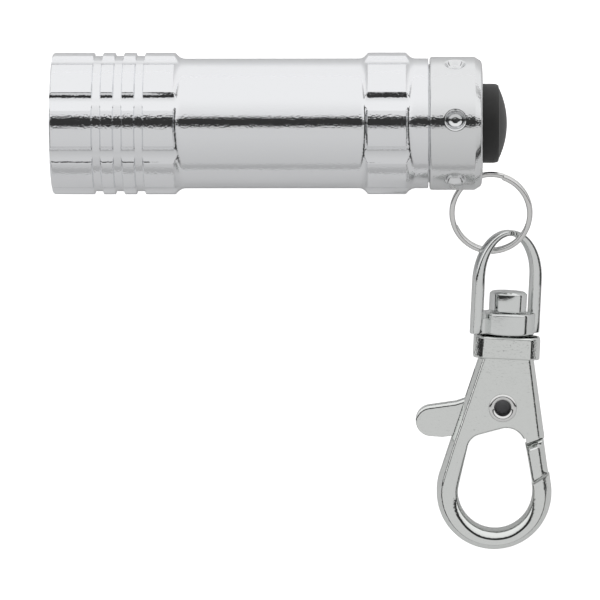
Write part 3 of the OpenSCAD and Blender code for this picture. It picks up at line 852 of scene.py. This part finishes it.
# %% Cast the lever
tab = closed((-1.2, -7.1), (-3.0, -7.25), (-4.9, -8.4), (-6, -8.82),
             arc(-9.05, -11.45, 2.02, 100, 262, 20), (-7.6, -13.5), (-5.9, -13.2), (-1.3, -11.35))
way = np.roll(tab, -1, 0) - tab
up = -way[:, 0] / np.linalg.norm(way, axis=1)
tab_plate = plate("tab", [(tab, 0.12 + 0.42 * np.clip(up, 0, 1), 0.12 + 0.3 * np.clip(up, 0, 1),
                           "roll")], 0.85, SNAP, 24)
arm = closed((1.4, -7.3), (1.4, -11.2), (3.1, -12.6), (3.33, -14.6), (4.99, -13.5), (5.4, -13.55),
             (4.62, -9.9), (3.9, -8.4))
arm_plate = plate("arm", [(arm, 0.06, 0.06, "roll")], 0.85, SNAP)
hub = lathe("hub", [(1.5, -0.85), (2.45, -0.85, 0.1), (2.45, 0.85, 0.1), (2.12, 0.85),
                    (2.12, -0.15), (1.5, -0.15)], RIVET, 96)

# %% Cast the gate's block
block = closed((3.1, -13.95), (3.78, -17), (4.18, -18.81), (6.2, -17.39), (5.36, -12.98),
               step=0.3)
middle = (block + np.roll(block, -1, 0)) / 2
way = np.roll(block, -1, 0) - block
way /= np.linalg.norm(way, axis=1)[:, None]
# The way each edge runs tells the block's outer face, its inner face and the slanted one apart.
outer, inner = way[:, 1] > 0.9, way[:, 1] < -0.9
slope = (way[:, 0] < -0.6) & (middle[:, 1] > -14.2) & (middle[:, 0] < 4.9)
size = np.select([outer, inner, slope], [0.66, 0.16, 0.62], 0.05)
fall = np.select([outer, inner, slope], [0.95, 0.35, 0.85], 0.26)
gate_block = plate("block", [(block, size, fall, "chamfer")], 2.2, SNAP)
piece(show("gate_casting", join("gate_casting", tab_plate, arm_plate, hub, gate_block)),
      "gate_lever", ["gate_lever"], "snap_nickel", cast_finish)

# %% Set the rivet
rivet = lathe("rivet", [(0, -2.5), (1.8, -2.5, 0.2), (1.8, -2.2), (1.45, -2.2), (1.45, 2.2),
                        (1.8, 2.2), (1.8, 2.36, 0.1), (1.55, 2.5, 0.2), (1.28, 2.5, 0.2),
                        (1.02, 2.3, 0.1), (1.0, -0.8), (0, -0.8)], RIVET, 96, 5)
rivet_piece = show("gate_rivet_shell", rivet)
rivet.materials.append(rivet_finish)
rivet.materials.append(bore_shade_finish)
inverse = (Matrix.Scale(MM, 4) @ RIVET).inverted()
# The faces down inside the bore take the painted shade.
for face in rivet.polygons:
    spot = inverse @ face.center
    face.material_index = int(math.hypot(spot.x, spot.y) < 1.02 and 2.28 > spot.z > -1)
piece(rivet_piece, "hook", ["gate_rivet"], "rivet_steel")

# %% [markdown]
# ## Parts that keep their CAD shape
# The parts inside are plain turned or moulded pieces, and nobody sees their edges until the torch
# is taken apart. Each keeps its CAD mesh and gets its finish.

# %% Finishes for the inside
for names, material in (("lens_seal tail_seal", seal_finish), ("led", phosphor_finish),
                        ("led_board", board_finish), ("battery_sleeve", sleeve_finish),
                        ("cell_1 cell_2 cell_3 cell_4", can_finish),
                        ("switch_housing switch_cover", nylon_finish),
                        ("switch_retainer tail_contact", brass_finish),
                        ("switch_plunger", acetal_finish)):
    for name in names.split():
        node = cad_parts[name]
        node.data.materials.clear()
        node.data.materials.append(material)
        print(name, "is", material.name)

# %% [markdown]
# ## Studio
# Bright metal is a picture of its room. The room is a tent of soft white light: brighter on the
# far side, a little dimmer on the near side, with a dark gap overhead between the two lights. The
# gap draws the dark line along the torch. A dark band low down, deepest at the left and right and
# absent at the back, draws the edges of rounded parts. The world shader holds the tent. The floor
# is white card that glows evenly to the camera. In reflections it carries painted light instead:
# a glow that grows towards its far side, standing in for a back light falling there.

# %% The light tent
world = bpy.data.worlds.new("light_tent")
bpy.context.scene.world = world
world.use_nodes = True
sky = world.node_tree
sky.nodes.clear()
do = maths(sky)
look = add(sky, "ShaderNodeSeparateXYZ",
           Vector=add(sky, "ShaderNodeTexCoord").outputs["Generated"]).outputs
lean = do("MULTIPLY", do("ARCTAN2", look[1], look[2]), 180 / math.pi)
rise = do("MULTIPLY", do("ARCSINE", look[2]), 180 / math.pi)
tent = do("MULTIPLY", ramp(sky, lean, -14.0, 44.0, 0.68, 0.98, "SMOOTHSTEP"),
          ramp(sky, lean, -95.0, -25.0, 0.8, 1.0))
off = do("ABSOLUTE", do("SUBTRACT", lean, 0.8))
gap = ramp(sky, off, 8.0, 9.2, 0.05, 1.0, "SMOOTHSTEP")
deep = do("MAXIMUM", ramp(sky, do("ABSOLUTE", look[0]), 0.35, 0.85, 0.8, 0.05),
          ramp(sky, look[1], 0.3, 0.8, 0.0, 1.0))
line = ramp(sky, rise, 8.0, 13.0, deep, 1.0, "SMOOTHSTEP")
value = do("MULTIPLY", do("MULTIPLY", tent, gap), line)
glow = add(sky, "ShaderNodeBackground", Color=value, Strength=1.0)
add(sky, "ShaderNodeOutputWorld", Surface=glow.outputs[0])

# %% Floor
FLOOR, REACH = -0.00902, 1.5        # metres: just under the barrel, and far past the view
floor_mesh = bpy.data.meshes.new("floor")
floor_mesh.from_pydata([(x * REACH, y * REACH, FLOOR) for x, y in
                        ((-1, -1), (1, -1), (1, 1), (-1, 1))], [], [(0, 1, 2, 3)])
floor = show("floor", floor_mesh)
floor_paint, floor_tree, floor_shader = finish("white_card_with_painted_glow", "#F4F4F4", 0.0, 0.9)
where = add(floor_tree, "ShaderNodeSeparateXYZ",
            Vector=add(floor_tree, "ShaderNodeTexCoord").outputs["Object"]).outputs
# Painted light: in reflections the floor glows more towards its far side, in place of a back
# light.
far = ramp(floor_tree, where[1], 0.010, 0.034, 0.0, 0.36, "SMOOTHSTEP")
back = add(floor_tree, "ShaderNodeEmission", Color=(1, 1, 1, 1), Strength=far)
lit = add(floor_tree, "ShaderNodeAddShader", i0=floor_shader.outputs[0], i1=back.outputs[0])
glow = add(floor_tree, "ShaderNodeEmission", Color=(1, 1, 1, 1), Strength=0.85)
both = add(floor_tree, "ShaderNodeAddShader", i0=floor_shader.outputs[0], i1=glow.outputs[0])
seen = add(floor_tree, "ShaderNodeLightPath").outputs["Is Camera Ray"]
pick = add(floor_tree, "ShaderNodeMixShader", i0=seen, i1=lit.outputs[0], i2=both.outputs[0])
floor_tree.links.new(pick.outputs[0], floor_tree.nodes["Material Output"].inputs["Surface"])
floor_mesh.materials.append(floor_paint)
floor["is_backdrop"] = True

# %% Camera
lens = bpy.data.cameras.new("camera")
lens.lens, lens.sensor_width = 300, 36
lens.clip_start, lens.clip_end = 0.01, 10
STAND, AIM_AT = (16.26, -22.43, 635), (3.56, -22.43, 0)
camera = show("camera", lens)
camera.location = Vector(STAND) * MM
aim = Vector(AIM_AT) * MM - camera.location
sideways = aim.cross(Vector((0, 1, 0))).normalized()
upward = sideways.cross(aim).normalized()
camera.matrix_world = Matrix.Translation(camera.location) @ Matrix(
    (sideways, upward, -aim.normalized())).transposed().to_4x4()
bpy.context.scene.camera = camera
bpy.context.scene.view_settings.view_transform = "Standard"

# %% Sizes and the last line
low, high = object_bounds()
